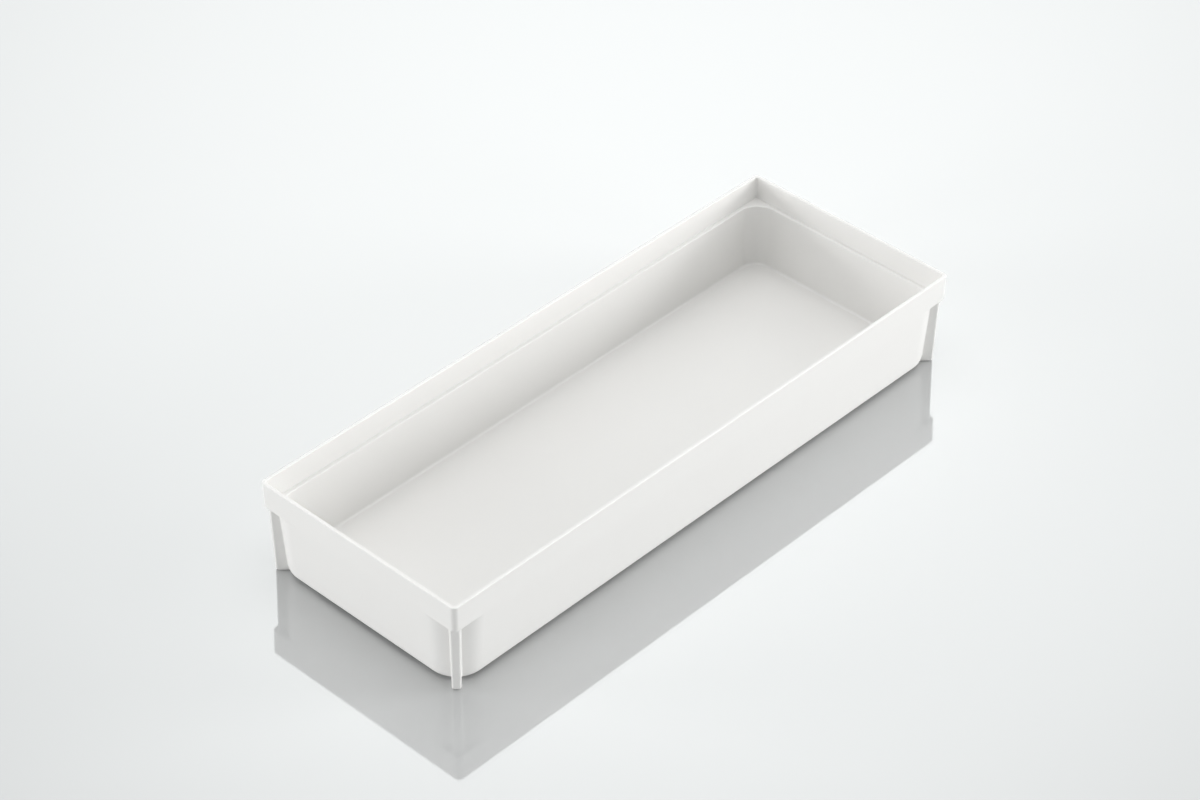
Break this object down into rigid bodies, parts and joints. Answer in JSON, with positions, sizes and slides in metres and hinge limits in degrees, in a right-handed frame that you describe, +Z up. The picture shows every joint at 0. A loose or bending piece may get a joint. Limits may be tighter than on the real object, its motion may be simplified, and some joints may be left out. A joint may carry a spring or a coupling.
{
  "type": "cutlery drawer organizer",
  "caption": "Shallow one-piece moulded drawer tray for cutlery: square rim with a stacking shelf inside, round-cornered bin below, diagonal corner fins as feet.",
  "frame": {"origin": "middle of the tray's plan, on the plane that its feet stand on", "axes": "+X along the tray's length, +Y across its width, +Z up out of its open top"},
  "size_m": [0.28, 0.1034, 0.043],
  "materials": {
    "tray_plastic": "fine satin moulded polypropylene, warm white"
  },
  "bodies": {
    "root": {"tray": "tray_plastic"}
  },
  "joints": []
}
